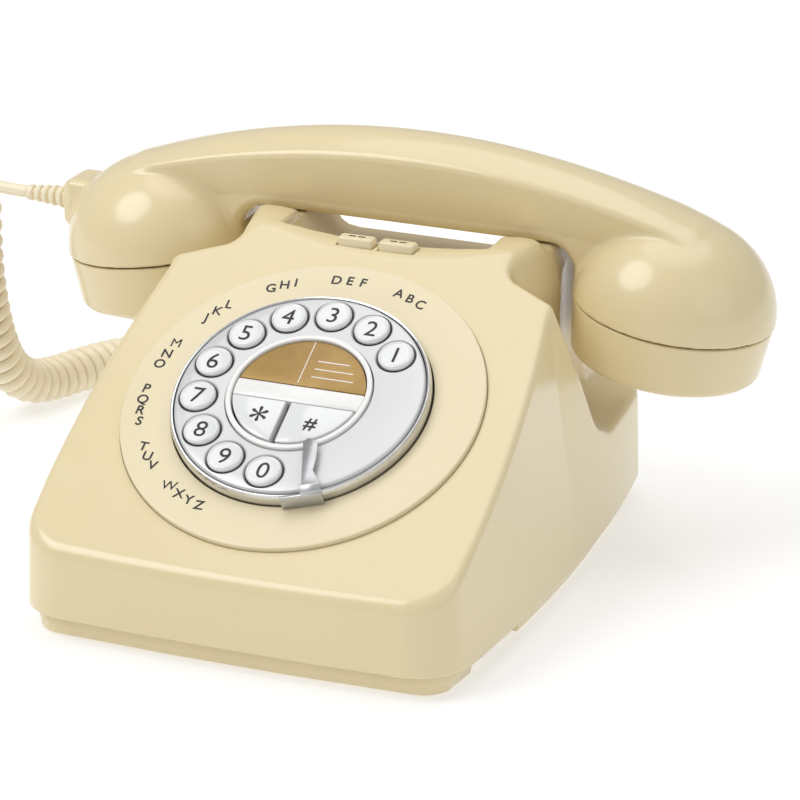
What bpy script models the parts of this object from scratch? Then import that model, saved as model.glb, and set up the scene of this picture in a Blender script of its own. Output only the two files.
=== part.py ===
"""Corded desk telephone with a push-button dial, modelled in Blender.

Sizes are millimetres and become metres where meshes are made. +Z is up, the dial faces -Y, +X is to
the right as the user sees it, and the origin is under the middle of the telephone, on the table.
"""
import math

import bmesh
import bpy
from mathutils import Matrix, Vector

MM = 0.001
GAP = 0.3  # clearance between neighbouring solids

# Case: front wall, sloping face, cradle with two horns, and a pocket under each handset cup.
CASE_BOTTOM = 7.0
CASE_FRONT = -91.0
CASE_REAR = 92.5
CASE_HALF_WIDTH = 72.0
FRONT_CORNER_RADIUS = 13.0
REAR_CORNER_RADIUS = 15.0
WALL = 2.6
CASE_TOP = 95.0
FACE_SLOPE = math.radians(29.5)
FACE_Y, FACE_Z = -35.56, 60.79  # a point on the sloping face, under the dial's centre
RIDGE_BACK = 27.5
RIDGE_SAG_Z = 91.3
TROUGH_Z = 82.0
TROUGH_FALL_Y, TROUGH_FALL = 64.0, 0.45  # behind this the trough's floor falls away to the rear
SADDLE_Z = 91.2
SADDLE_FRONT, SADDLE_BACK = 40.3, 69.5
REAR_SLOPE = [(75.5, 96.0), (79.5, 88.0), (84.0, 76.0), (88.0, 62.0), (91.8, 44.0)]  # (y, z), downwards
HORN_INNER, HORN_OUTER = 33.0, 48.5
HORN_ROUNDING = 6.0
HORN_FLARE, HORN_FLARE_END = 0.227, 44.0  # the horns widen towards the back, up to this Y
SHOULDER = Vector((60.0, 9.0, 86.0))  # outer corner of the face, beside the horn
SHOULDER_RUN = Vector((15.0, -6.5, -3.6))  # direction of the shoulder's edge, outwards
POCKET_RADIUS = 34.0
POCKET_FLOOR = 36.8

# Base plate and what stands on it.
BASE_INSET = 3.6
BASE_LIP_Z = 3.4
BASE_BLOCK_Z = 0.8
FOOT_RADIUS = 6.0
FOOT_PLACES = {"front_left": (-52, -76), "front_right": (52, -76),
               "rear_left": (-57, 22), "rear_right": (57, 22)}
SCREW_PLACES = {"front_left": (-60, -50), "front_right": (60, -50),
                "rear_left": (-58, 66), "rear_right": (58, 66)}

# Function keys, hook plungers and what opens in the rear wall.
FUNCTION_KEY_X, FUNCTION_KEY_Y = 6.6, 22.4
FUNCTION_KEY_HALF = (5.65, 2.35)
FUNCTION_KEY_BOTTOM, FUNCTION_KEY_TOP = 84.0, 93.8
PLUNGER_X, PLUNGER_Y, PLUNGER_RADIUS = 38.5, 53.6, 3.0
PLUNGER_TOP = 91.15
HOOK_BAR_TOP = 71.5  # low enough to rise by the hook's travel under the trough
LINE_SOCKET_X, LINE_SOCKET_Z = 30.0, 18.0
SWITCH_X, SWITCH_Z = -2.0, 17.0
SWITCH_OFFSET = -2.5  # the ringer switch rests at the left end of its slot

# Dial. Heights are measured along the face's normal from the number ring's top.
DIAL_Y, DIAL_Z = -36.3, 62.1
RING_RADIUS = 54.0
RING_THICKNESS = 2.2
DISC_RADIUS = 37.0
DISC_TOP = 4.4
RIM_RADIUS = 38.5
KEY_CIRCLE = 30.0
KEY_RADIUS = 5.3
KEY_BOTTOM, KEY_TOP = -3.7, 5.4
KEY_FIRST_ANGLE, KEY_STEP_ANGLE = 38.0, 25.8
KEY_ORDER = "1234567890"
CENTRE_RADIUS = 21.6
CENTRE_INNER = 20.0
LABEL_RADIUS = 19.7
CARD_LOW, STRIP_HIGH, STRIP_LOW = 2.6, 2.3, -3.7
SOFT_KEY_RADIUS, SOFT_KEY_HIGH = 19.4, -4.6
SOFT_KEY_SPLIT, SOFT_KEY_GAP = -1.3, 1.7
STOP_ANGLE = -69.0

# Handset. Each cup has its own tilted axis through the centre of the seam between dome and cap.
CUP_X, CUP_Y, SEAM_Z = 83.4, 53.6, 73.4
CUP_TILT = math.radians(8.0)
CUP_RADIUS = 31.0
DOME_HEIGHT = 28.5
CAP_RIM_RADIUS, CAP_RIM_DEPTH, CAP_DEPTH = 28.8, 15.6, 20.4
SOUND_HOLES, SOUND_HOLE_CIRCLE = 6, 9.0
SHELL_WALL = 2.6
HANDLE_TOP_Z, HANDLE_TOP_FALL = 118.5, 0.00205
CREASE_Z, CREASE_FALL = 113.2, 0.0017
HANDLE_BOTTOM_Z = 91.5
HANDLE_HALF_DEPTH, HANDLE_BOTTOM_HALF_DEPTH = 13.6, 10.4
HANDLE_END = 96.0
NECK_START, NECK_RADIUS = 46.4, 8.0

# Cord: a straight lead, the curly part as one fat tube, and a straight tail into the back.
CORD_RADIUS = 2.0
COIL_RADIUS = 7.5
CORD_EXIT = (-116.5, CUP_Y, 83.0)
BOSS_HALF = (7.8, 7.8)
RELIEF_LENGTH = 15.0
TAIL_SOCKET = (-45.0, 93.0, 14.0)
TAIL_RELIEF_LENGTH = 19.0
LEAD_ROUTE = [(-131.8, 53.6, 83.0), (-138, 53.6, 83.2), (-145, 53.6, 83.7), (-150.5, 53.6, 83.9),
              (-153.9, 53.6, 82.7), (-155.1, 53.6, 80.7), (-155.2, 53.6, 78.5)]
COIL_ROUTE = [(-149.5, 53.6, 77.8), (-149.5, 54, 60), (-149, 55.5, 45), (-148, 59, 30),
              (-146.5, 65, 18), (-144, 74, 10.5), (-140.5, 84, 8.0), (-134.5, 98, 7.8),
              (-126, 112, 7.8), (-112, 124, 7.8), (-94, 130, 7.8), (-77, 130, 7.8)]
TAIL_ROUTE = [(-76.4, 130, 7.8), (-67, 130, 6.6), (-56, 127.5, 7.4), (-48.5, 122.5, 11.5),
              (-45.2, 117, 13.7), (-45, 112.6, 14)]

COLOURS = {
    "ivory_plastic": ((0.80, 0.70, 0.47), 0.22, 0.0),
    "ivory_trim": ((0.83, 0.74, 0.53), 0.25, 0.0),
    "silver_plastic": ((0.75, 0.76, 0.78), 0.25, 0.6),
    "chrome": ((0.80, 0.81, 0.83), 0.08, 1.0),
    "white_plastic": ((0.86, 0.86, 0.85), 0.2, 0.0),
    "clear_key": ((0.88, 0.89, 0.90), 0.1, 0.0),
    "card": ((0.55, 0.36, 0.13), 0.5, 0.0),
    "black_rubber": ((0.03, 0.03, 0.03), 0.7, 0.0),
    "steel": ((0.55, 0.56, 0.57), 0.35, 1.0),
    "circuit_board": ((0.05, 0.22, 0.10), 0.45, 0.0),
    "dark_plastic": ((0.06, 0.06, 0.065), 0.4, 0.0),
    "cord_vinyl": ((0.82, 0.73, 0.51), 0.35, 0.0),
}


# ---------------------------------------------------------------- helpers

def material(slot):
    """The Principled material of a slot, made once."""
    made = bpy.data.materials.get(slot)
    if made:
        return made
    colour, roughness, metallic = COLOURS[slot]
    made = bpy.data.materials.new(slot)
    made.use_nodes = True
    shader = made.node_tree.nodes["Principled BSDF"]
    shader.inputs["Base Color"].default_value = (*colour, 1.0)
    shader.inputs["Roughness"].default_value = roughness
    shader.inputs["Metallic"].default_value = metallic
    return made


def link(name, mesh, slot=None):
    """A named object for a mesh. Round surfaces are shaded smooth."""
    body = bpy.data.objects.new(name, mesh)
    bpy.context.collection.objects.link(body)
    if slot:
        mesh.materials.clear()
        mesh.materials.append(material(slot))
        mesh.shade_smooth()
        mesh.set_sharp_from_angle(angle=math.radians(35))
    return body


def solid(name, points, faces, slot=None):
    """A closed mesh from points in millimetres, its faces turned outwards."""
    shape = bmesh.new()
    made = [shape.verts.new(Vector(p) * MM) for p in points]
    for face in faces:
        shape.faces.new([made[i] for i in face])
    bmesh.ops.recalc_face_normals(shape, faces=shape.faces)
    mesh = bpy.data.meshes.new(name)
    shape.to_mesh(mesh)
    shape.free()
    return link(name, mesh, slot)


def loft(name, loops, slot=None):
    """A solid through closed loops of equally many points, with a flat cap at each end."""
    count = len(loops[0])
    points = [p for loop in loops for p in loop]
    faces = [tuple(range(count))[::-1], tuple(range(len(points) - count, len(points)))]
    for k in range(len(loops) - 1):
        for i in range(count):
            j = (i + 1) % count
            faces.append((k * count + i, k * count + j, (k + 1) * count + j, (k + 1) * count + i))
    return solid(name, points, faces, slot)


def extruded(name, outline, low, high, axis="X", slot=None):
    """A prism of an outline. Outlines are (y, z) along X, (x, z) along Y and (x, y) along Z."""
    place = {"X": lambda p, t: (t, p[0], p[1]), "Y": lambda p, t: (p[0], t, p[1]),
             "Z": lambda p, t: (p[0], p[1], t)}[axis]
    return loft(name, [[place(p, low) for p in outline], [place(p, high) for p in outline]], slot)


def box(name, low, high, slot=None):
    """A box between two corners."""
    outline = [(low[0], low[1]), (high[0], low[1]), (high[0], high[1]), (low[0], high[1])]
    return extruded(name, outline, low[2], high[2], "Z", slot)


def turned(name, profile, segments=32, slot=None, ring=False, frame=None):
    """A turned solid about Z from (radius, height) points. A ring's profile closes on itself."""
    points, faces, rows = [], [], []
    for radius, height in profile:
        if radius < 1e-6:
            rows.append([len(points)] * segments)
            points.append((0, 0, height))
            continue
        rows.append(list(range(len(points), len(points) + segments)))
        for i in range(segments):
            turn = 2 * math.pi * i / segments
            points.append((radius * math.cos(turn), radius * math.sin(turn), height))
    pairs = list(zip(rows, rows[1:] + rows[:1])) if ring else list(zip(rows, rows[1:]))
    for lower, upper in pairs:
        for i in range(segments):
            j = (i + 1) % segments
            corners = list(dict.fromkeys((lower[i], lower[j], upper[j], upper[i])))
            if len(corners) > 2:
                faces.append(corners)
    if frame is not None:
        points = [frame @ Vector(p) for p in points]
    return solid(name, points, faces, slot)


def arc(centre, radius, start, end, steps):
    """Points on an arc, from start to end degrees."""
    turns = [math.radians(start + (end - start) * i / steps) for i in range(steps + 1)]
    return [(centre[0] + radius * math.cos(t), centre[1] + radius * math.sin(t)) for t in turns]


def rounded_rectangle(half_x, half_y, radius, steps=4, centre=(0, 0)):
    """An outline with rounded corners."""
    outline = []
    for k, (sx, sy) in enumerate(((1, 1), (-1, 1), (-1, -1), (1, -1))):
        corner = (centre[0] + sx * (half_x - radius), centre[1] + sy * (half_y - radius))
        outline += arc(corner, radius, 90 * k, 90 * k + 90, steps)
    return outline


def combine(body, other, operation):
    """Applies a Boolean of two solids to the first and removes the second."""
    modifier = body.modifiers.new(operation.lower(), "BOOLEAN")
    modifier.operation = operation
    modifier.solver = "EXACT"
    modifier.object = other
    bpy.context.view_layer.update()
    finished = body.evaluated_get(bpy.context.evaluated_depsgraph_get())
    mesh = bpy.data.meshes.new_from_object(finished)
    body.modifiers.clear()
    body.data = mesh
    bpy.data.objects.remove(other)
    return body


def cut(body, *cutters):
    for cutter in cutters:
        combine(body, cutter, "DIFFERENCE")
    return body


def join(body, *others):
    for other in others:
        combine(body, other, "UNION")
    return body


def finish(body, slot):
    """Gives a solid made by Booleans its material and shading, and closes slivers left between faces."""
    shape = bmesh.new()
    shape.from_mesh(body.data)
    bmesh.ops.remove_doubles(shape, verts=shape.verts, dist=0.000001)
    sliver = [edge for edge in shape.edges if edge.is_boundary]
    if sliver:
        bmesh.ops.contextual_create(shape, geom=sliver)
    bmesh.ops.recalc_face_normals(shape, faces=shape.faces)
    shape.to_mesh(body.data)
    shape.free()
    body.data.materials.clear()
    body.data.materials.append(material(slot))
    body.data.shade_smooth()
    body.data.set_sharp_from_angle(angle=math.radians(35))
    return body


def place(body, frame):
    """Puts a solid modelled about its own origin into a frame given in millimetres."""
    body.matrix_world = Matrix.Translation(frame.translation * MM) @ frame.to_3x3().to_4x4()
    return body


def smooth_route(route, spacing):
    """Points about a spacing apart on a smooth curve through the route's points."""
    ends = [Vector(route[0]) * 2 - Vector(route[1]), Vector(route[-1]) * 2 - Vector(route[-2])]
    knots = [ends[0], *[Vector(p) for p in route], ends[1]]
    fine = []
    for a, b, c, d in zip(knots, knots[1:], knots[2:], knots[3:]):
        for i in range(24):
            t = i / 24
            fine.append(0.5 * (2 * b + (c - a) * t + (2 * a - 5 * b + 4 * c - d) * t ** 2
                               + (3 * b - a - 3 * c + d) * t ** 3))
    fine.append(knots[-2])
    length = sum((q - p).length for p, q in zip(fine, fine[1:]))
    step = length / max(2, round(length / spacing))
    points, run = [fine[0]], 0.0
    for p, q in zip(fine, fine[1:]):
        run += (q - p).length
        if run >= step * len(points) - 1e-6:
            points.append(q)
    return points


def tube(name, route, radius, spacing, slot, resolution):
    """A round tube along a smooth route, as a bevelled curve with filled ends."""
    curve = bpy.data.curves.new(name, "CURVE")
    curve.dimensions = "3D"
    curve.bevel_depth = radius * MM
    curve.bevel_resolution = resolution
    curve.render_resolution_u = 0
    curve.use_fill_caps = True
    points = smooth_route(route, spacing)
    line = curve.splines.new("POLY")
    line.points.add(len(points) - 1)
    for knot, point in zip(line.points, points):
        knot.co = (*(point * MM), 1.0)
    body = bpy.data.objects.new(name, curve)
    bpy.context.collection.objects.link(body)
    curve.materials.append(material(slot))
    return body


# ---------------------------------------------------------------- case

def face_height(y, drop=0.0):
    """Height of the sloping face at a depth, lowered by drop along its normal."""
    return FACE_Z - drop / math.cos(FACE_SLOPE) + (y - FACE_Y) * math.tan(FACE_SLOPE)


def half_width(y, z):
    """Half the case's width: the sides bulge in plan and lean inwards towards the top."""
    bulge = 0.00075 if y < 0 else 0.00094
    lean = 0.15 - 0.0012 * (5 - y) if y < 5 else 0.15 - 0.0016 * (y - 5)
    return CASE_HALF_WIDTH - bulge * y * y - (z - CASE_BOTTOM) * lean


def plan_loop(z, inset):
    """The case's outline at a height, as a closed loop, moved inwards by inset."""
    front = CASE_FRONT - 0.05 * min(z - CASE_BOTTOM, 22.0) + inset
    rear = CASE_REAR - 0.04 * (z - CASE_BOTTOM) - inset
    front_radius, rear_radius = FRONT_CORNER_RADIUS - inset, REAR_CORNER_RADIUS - inset
    low, high = front + front_radius, rear - rear_radius
    side = [low + (high - low) * i / 9 for i in range(10)]
    right = [(half_width(y, z) - inset, y) for y in side]
    front_x, rear_x = right[0][0] - front_radius, right[-1][0] - rear_radius
    half = [(front_x * t, front - 1.4 * (1 - t * t)) for t in (0.0, 0.34, 0.67)]
    half += arc((front_x, low), front_radius, -90, 0, 8) + right[1:-1]
    half += arc((rear_x, high), rear_radius, 0, 90, 8) + [(rear_x / 2, rear + 0.3), (0.0, rear + 0.4)]
    mirrored = [(-x, y) for x, y in half[-2:0:-1]]
    return [(x, y, z) for x, y in half + mirrored]


def pocket_cutter(side, inset):
    """What is taken out of the case for one handset cup: behind the shoulder and outside the horn."""
    start, run = SHOULDER, SHOULDER_RUN / SHOULDER_RUN.x
    floor, front = POCKET_FLOOR - inset, start.y - inset
    profile = [(front - 12.0, start.z + 20), (front, start.z), (front + 23.5, start.z - 39.0)]
    profile += [(front + 27.0, floor + 5.0), (front + 29.6, floor + 1.8), (front + 33.5, floor)]
    profile += [(110, floor), (110, 106)]
    loops = []
    for reach in (-30.0, 26.0):
        shift = run * reach
        loops.append([(side * (start.x + shift.x), y + shift.y, z + shift.z) for y, z in profile])
    behind = loft("pocket_behind", loops)
    edge_x, edge_z = HORN_OUTER - HORN_ROUNDING - inset, CASE_TOP - HORN_ROUNDING - inset
    wall = [(edge_x, 112)] + arc((edge_x, edge_z), HORN_ROUNDING, 90, 8, 7)
    wall += [(HORN_OUTER + 2.0 - inset, 78), (HORN_OUTER + 3.5 - inset, 30), (120, 30), (120, 112)]
    stations = [(-20.0, -HORN_FLARE * (HORN_FLARE_END + 20.0)), (HORN_FLARE_END, 0.0), (112.0, 0.0)]
    loops = [[(side * (x + shift), y, z) for x, z in wall] for y, shift in stations]
    outside = loft("pocket_outside", loops)
    radius = POCKET_RADIUS + inset
    frame = Matrix.Translation((side * CUP_X, CUP_Y, 0))
    around = turned("pocket_cup", [(0, 20), (radius, 20), (radius, 112), (0, 112)], 48, frame=frame)
    return combine(join(outside, around), behind, "INTERSECT")


def cradle_cutters(inset):
    """Everything above the case's roof: face, sagging ridge, trough, saddles, prongs and the rear slope."""
    top, low_y, high_y = 130.0, -130.0, 60.0
    slope = [(low_y, face_height(low_y, inset)), (high_y, face_height(high_y, inset))]
    slope += [(high_y, top + 60), (low_y, top + 60)]
    rise = CASE_TOP + 0.2 - RIDGE_SAG_Z
    sag = [(5.0 * i, RIDGE_SAG_Z - inset + rise * (i / 8) ** 2) for i in range(-8, 9)]
    sag += [(40, top), (-40, top)]
    low_half, high_half, saddle_z = HORN_INNER - 6 + inset, HORN_INNER + inset, SADDLE_Z - inset
    trough = [(-low_half, TROUGH_Z - inset), (low_half, TROUGH_Z - inset), (high_half, saddle_z)]
    trough += [(high_half, top), (-high_half, top), (-high_half, saddle_z)]
    fall_z, fall_half = TROUGH_Z - inset - 0.05, HORN_INNER + 3.0 + inset
    fall = [(TROUGH_FALL_Y, fall_z), (130, fall_z - TROUGH_FALL * (130 - TROUGH_FALL_Y))]
    fall += [(130, top), (TROUGH_FALL_Y, top)]
    saddle = [(SADDLE_FRONT - inset, saddle_z), (SADDLE_BACK + inset, saddle_z)]
    saddle += [(SADDLE_BACK + inset + 1.5, top), (SADDLE_FRONT - inset - 1.0, top)]
    rear = [(y - inset, z) for y, z in REAR_SLOPE]
    rear += [(120, 44), (120, top), (REAR_SLOPE[0][0] - inset, top)]
    return [extruded("above_face", slope, -100, 100), extruded("above_ridge", sag, -130, 60, "Y"),
            extruded("trough", trough, RIDGE_BACK - inset, 130, "Y"),
            extruded("fall", fall, -fall_half, fall_half),
            extruded("saddle", saddle, -100, 100), extruded("rear_slope", rear, -100, 100)]


def case_block(name, inset, bottom):
    """The case as one solid block, moved inwards by inset."""
    top = CASE_TOP - inset
    levels = [bottom, 20.0, 34.0, 60.0, top]
    block = loft(name, [plan_loop(z, inset) for z in levels])
    for side in (-1, 1):
        cut(block, pocket_cutter(side, inset))
    return cut(block, *cradle_cutters(inset))


def dial_frame(height=0.0, radius=0.0, angle=0.0):
    """A frame on the dial: its Z is the face's normal, its Y runs up the face."""
    tilt = Matrix.Translation((0, DIAL_Y, DIAL_Z)) @ Matrix.Rotation(FACE_SLOPE, 4, "X")
    turn = math.radians(angle)
    return tilt @ Matrix.Translation((radius * math.cos(turn), radius * math.sin(turn), height))


def key_angle(index):
    return KEY_FIRST_ANGLE + KEY_STEP_ANGLE * index


def post_with_rib(x, y):
    """A screw post and the rib that ties it to the side wall."""
    wall_x = math.copysign(half_width(y, 20) - WALL / 2, x)
    low = CASE_BOTTOM + 3.0
    rib = box("post_rib", (min(x, wall_x), y - 1.2, low + 1), (max(x, wall_x), y + 1.2, 28))
    upright = Matrix.Translation((x, y, 0))
    post = turned("post", [(0, low), (4.5, low), (4.5, 30), (0, 30)], 12, frame=upright)
    return join(post, rib)


def round_cutter(radius, low, high, frame, segments=20):
    """A cylinder to cut with, along its frame's Z."""
    profile = [(0, low), (radius, low), (radius, high), (0, high)]
    return turned("round_cutter", profile, segments, frame=frame)


def make_case_cover():
    cover = case_block("case_cover", 0.0, CASE_BOTTOM)
    cut(cover, case_block("case_inside", WALL, CASE_BOTTOM - 3.0))
    for x, y in SCREW_PLACES.values():
        join(cover, post_with_rib(x, y))
        cut(cover, round_cutter(1.4, 5, 22, Matrix.Translation((x, y, 0)), 8))
    cut(cover, round_cutter(RING_RADIUS + 0.4, -RING_THICKNESS - GAP, 12, dial_frame(), 56),
        round_cutter(RIM_RADIUS + 0.6, -12, 12, dial_frame(), 48))
    half_x, half_y = FUNCTION_KEY_HALF
    for side in (-1, 1):
        x, y = side * FUNCTION_KEY_X, FUNCTION_KEY_Y
        cut(cover, box("function_slot", (x - half_x - 0.35, y - half_y - 0.35, 80),
                       (x + half_x + 0.35, y + half_y + 0.35, 110)))
        plunger = Matrix.Translation((side * PLUNGER_X, PLUNGER_Y, 0))
        cut(cover, round_cutter(PLUNGER_RADIUS + 0.4, 80, 100, plunger, 16))
    backwards = Matrix.Translation((TAIL_SOCKET[0], 80, TAIL_SOCKET[2]))
    backwards @= Matrix.Rotation(-math.pi / 2, 4, "X")
    cut(cover, round_cutter(3.6, 0, 30, backwards, 16),
        box("line_opening", (LINE_SOCKET_X - 8.3, 80, LINE_SOCKET_Z - 7.3),
            (LINE_SOCKET_X + 8.3, 110, LINE_SOCKET_Z + 7.3)),
        box("switch_opening", (SWITCH_X - 6.5, 80, SWITCH_Z - 2.5), (SWITCH_X + 6.5, 110, SWITCH_Z + 2.5)))
    return finish(cover, "ivory_plastic")


# ---------------------------------------------------------------- base plate, feet and inner parts

def base_loop(z, inset):
    """The base plate's outline, inside the case's lower edge."""
    return [(x, y, z) for x, y, _ in plan_loop(CASE_BOTTOM, inset)]


def make_base_plate():
    """A tray: a floor, blocks that reach almost to the table, and round seats for the feet."""
    top = CASE_BOTTOM - GAP
    plate = loft("base_plate", [base_loop(BASE_LIP_Z, BASE_INSET), base_loop(top, BASE_INSET)])
    loops = [base_loop(BASE_BLOCK_Z, BASE_INSET + 0.6), base_loop(BASE_LIP_Z + 1, BASE_INSET)]
    blocks = loft("blocks", loops)
    cut(blocks, box("grip_gap", (-90, -67, -5), (90, -35, BASE_LIP_Z)),
        box("rear_gap", (-90, 37, -5), (90, 75, BASE_LIP_Z)),
        extruded("middle_gap", rounded_rectangle(48, 63, 8, centre=(0, -1)), -5, BASE_LIP_Z, "Z"))
    join(plate, blocks)
    for x, y in FOOT_PLACES.values():
        cut(plate, round_cutter(FOOT_RADIUS + 0.4, -2, 3.6, Matrix.Translation((x, y, 0)), 16))
    for x, y in SCREW_PLACES.values():
        profile = [(0, -2), (3.4, -2), (3.4, 5.0), (1.9, 5.0), (1.9, 9), (0, 9)]
        cut(plate, turned("screw_hole", profile, 10, frame=Matrix.Translation((x, y, 0))))
    return finish(plate, "ivory_plastic")


def make_feet():
    for name, (x, y) in FOOT_PLACES.items():
        profile = [(0, 0), (FOOT_RADIUS - 0.8, 0), (FOOT_RADIUS, 0.8), (FOOT_RADIUS, 3.3), (0, 3.3)]
        place(turned("rubber_foot_" + name, profile, 16, "black_rubber"), Matrix.Translation((x, y, 0)))


def make_screws():
    for name, (x, y) in SCREW_PLACES.items():
        profile = [(0, 1.9), (2.8, 1.9), (3.0, 2.2), (3.0, 4.7), (1.25, 4.7), (1.25, 18), (0, 19.5)]
        place(turned("case_screw_" + name, profile, 10, "steel"), Matrix.Translation((x, y, 0)))


def make_inner_parts():
    """Ballast, boards, ringer and hook switch inside the case."""
    extruded("ballast_weight", rounded_rectangle(34, 22, 4, centre=(0, -14)), 7.2, 12.2, "Z", "steel")
    extruded("main_board", rounded_rectangle(40, 20, 2, 2, centre=(0, 58)), 20, 21.6, "Z", "circuit_board")
    place(turned("ringer", [(0, 0), (15, 0), (15, 4), (18, 5), (18, 9), (0, 9)], 32, "dark_plastic"),
          Matrix.Translation((0, -66, 8)))
    box("hook_switch", (-8, 44, 22), (8, 58, 36), "dark_plastic")
    board = [(0, -8.2), (36, -8.2), (36, -6.6), (0, -6.6)]
    turned("keypad_board", board, 48, "circuit_board", frame=dial_frame())
    mat = [(0, -6.3), (35, -6.3), (35, -5.2), (0, -5.2)]
    turned("keypad_mat", mat, 48, "black_rubber", frame=dial_frame())


# ---------------------------------------------------------------- dial

def make_number_ring():
    profile = [(RIM_RADIUS + 0.3, -RING_THICKNESS), (RING_RADIUS, -RING_THICKNESS), (RING_RADIUS, -0.5),
               (RING_RADIUS - 0.5, 0), (RIM_RADIUS + 0.3, 0)]
    turned("number_ring", profile, 56, "ivory_trim", ring=True, frame=dial_frame())


def make_dial_disc():
    """The silver disc: a ring with a round hole for each key."""
    inner = CENTRE_RADIUS + GAP
    profile = [(inner, 1.0), (DISC_RADIUS, 1.0), (DISC_RADIUS, DISC_TOP - 1.4)]
    profile += [(DISC_RADIUS - 1.2, DISC_TOP - 0.4), (DISC_RADIUS - 4, DISC_TOP), (inner, DISC_TOP)]
    disc = turned("dial_disc", profile, 48, ring=True, frame=dial_frame())
    for index in range(len(KEY_ORDER)):
        cut(disc, round_cutter(KEY_RADIUS + 0.45, -2, 9, dial_frame(0, KEY_CIRCLE, key_angle(index)), 16))
    return finish(disc, "silver_plastic")


def make_dial_rim():
    inner = DISC_RADIUS + GAP
    profile = [(inner, -1.0), (RIM_RADIUS, -1.0), (RIM_RADIUS, 2.0), (RIM_RADIUS - 0.4, 3.2)]
    profile += [(inner + 0.4, 3.9), (inner, 3.4)]
    turned("dial_rim", profile, 48, "chrome", ring=True, frame=dial_frame())


def make_dial_carrier():
    """The dark ring under the disc's edge, which holds the disc and the rim."""
    profile = [(DISC_RADIUS - 1.2, -4.4), (RIM_RADIUS, -4.4), (RIM_RADIUS, -1.4), (DISC_RADIUS - 0.2, -1.4),
               (DISC_RADIUS - 0.2, 0.7), (DISC_RADIUS - 1.2, 0.7)]
    turned("dial_carrier", profile, 48, "dark_plastic", ring=True, frame=dial_frame())


def make_centre_ring():
    profile = [(CENTRE_INNER, 1.0), (CENTRE_RADIUS, 1.0), (CENTRE_RADIUS, DISC_TOP + 0.5)]
    profile += [(CENTRE_RADIUS - 0.4, DISC_TOP + 0.9), (CENTRE_INNER + 0.4, DISC_TOP + 0.9)]
    profile += [(CENTRE_INNER, DISC_TOP + 0.5)]
    turned("centre_ring", profile, 40, "white_plastic", ring=True, frame=dial_frame())


def chord_half(radius, y):
    """Half the width of a circle at a height."""
    return math.sqrt(radius * radius - y * y)


def make_label():
    """The name card in the upper part of the dial's centre, with a plain strip under it."""
    edge = math.degrees(math.asin(CARD_LOW / LABEL_RADIUS))
    card = arc((0, 0), LABEL_RADIUS, edge, 180 - edge, 20)
    place(extruded("label_card", card, 1.0, DISC_TOP + 0.1, "Z", "card"), dial_frame())
    high, low = (math.degrees(math.asin(y / LABEL_RADIUS)) for y in (STRIP_HIGH, STRIP_LOW))
    strip = arc((0, 0), LABEL_RADIUS, low, high, 3) + arc((0, 0), LABEL_RADIUS, 180 - high, 180 - low, 3)
    place(extruded("label_strip", strip, 1.0, DISC_TOP + 0.1, "Z", "white_plastic"), dial_frame())


def make_digit_keys():
    for index, digit in enumerate(KEY_ORDER):
        profile = [(0, KEY_BOTTOM), (KEY_RADIUS, KEY_BOTTOM), (KEY_RADIUS, KEY_TOP - 0.8)]
        profile += [(KEY_RADIUS - 0.9, KEY_TOP), (0, KEY_TOP - 0.25)]
        key = turned("key_" + digit, profile, 20, "clear_key")
        place(key, dial_frame(0, KEY_CIRCLE, key_angle(index)))


def make_soft_keys():
    """The star and hash keys, which share the lower part of the dial's centre."""
    for name, side in (("star", -1), ("hash", 1)):
        inner_x = SOFT_KEY_SPLIT + side * SOFT_KEY_GAP / 2
        radius = SOFT_KEY_RADIUS
        start = math.degrees(math.asin(SOFT_KEY_HIGH / radius))
        end = math.degrees(math.asin(-chord_half(radius, inner_x) / radius))
        if side * inner_x < 0:
            end = -180 - end
        curved = [(side * x, y) for x, y in arc((0, 0), radius, start, end, 12)]
        outline = [(inner_x, SOFT_KEY_HIGH)] + curved
        key = extruded("key_" + name, outline, 1.0, DISC_TOP + 1.0, "Z")
        stem = box("stem", (min(side * 5, side * 10), -11, KEY_BOTTOM), (max(side * 5, side * 10), -6.5, 2))
        place(finish(join(key, stem), "clear_key"), dial_frame())


def make_finger_stop():
    """A bent strip: over the disc it points at the centre, and at the rim it flares and turns down."""
    low, high = DISC_TOP + 1.6, DISC_TOP + 2.4
    outline = [(20.0, 2.9), (20.7, 5.0), (22.0, 5.5), (27.7, 4.9), (32.1, 3.8)]
    outline += [(37.3, 5.7), (37.3, 0.4), (20.9, 1.3)]
    stop = extruded("finger_stop", outline, low, high, "Z")
    bend = [(36.9, low), (38.1, low - 0.4), (38.8, low - 1.4), (39.6, low - 1.4), (39.2, low), (37.4, high)]
    join(stop, extruded("bend", bend + [(36.9, high)], -0.1, 5.8, "Y"),
         box("foot", (38.8, -6.2, 0.3), (39.6, 5.9, low - 0.8)))
    place(finish(stop, "chrome"), dial_frame() @ Matrix.Rotation(math.radians(STOP_ANGLE), 4, "Z"))


# ---------------------------------------------------------------- cradle and back panel

def make_function_keys():
    for name, side in (("left", -1), ("right", 1)):
        outline = rounded_rectangle(*FUNCTION_KEY_HALF, 0.8, 3)
        loops = [[(x, y, z) for x, y in outline] for z in (FUNCTION_KEY_BOTTOM, FUNCTION_KEY_TOP - 0.7)]
        loops.append([(x * 0.93, y * 0.84, FUNCTION_KEY_TOP) for x, y in outline])
        key = loft("function_key_" + name, loops, "ivory_trim")
        place(key, Matrix.Translation((side * FUNCTION_KEY_X, FUNCTION_KEY_Y, 0)))


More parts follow.
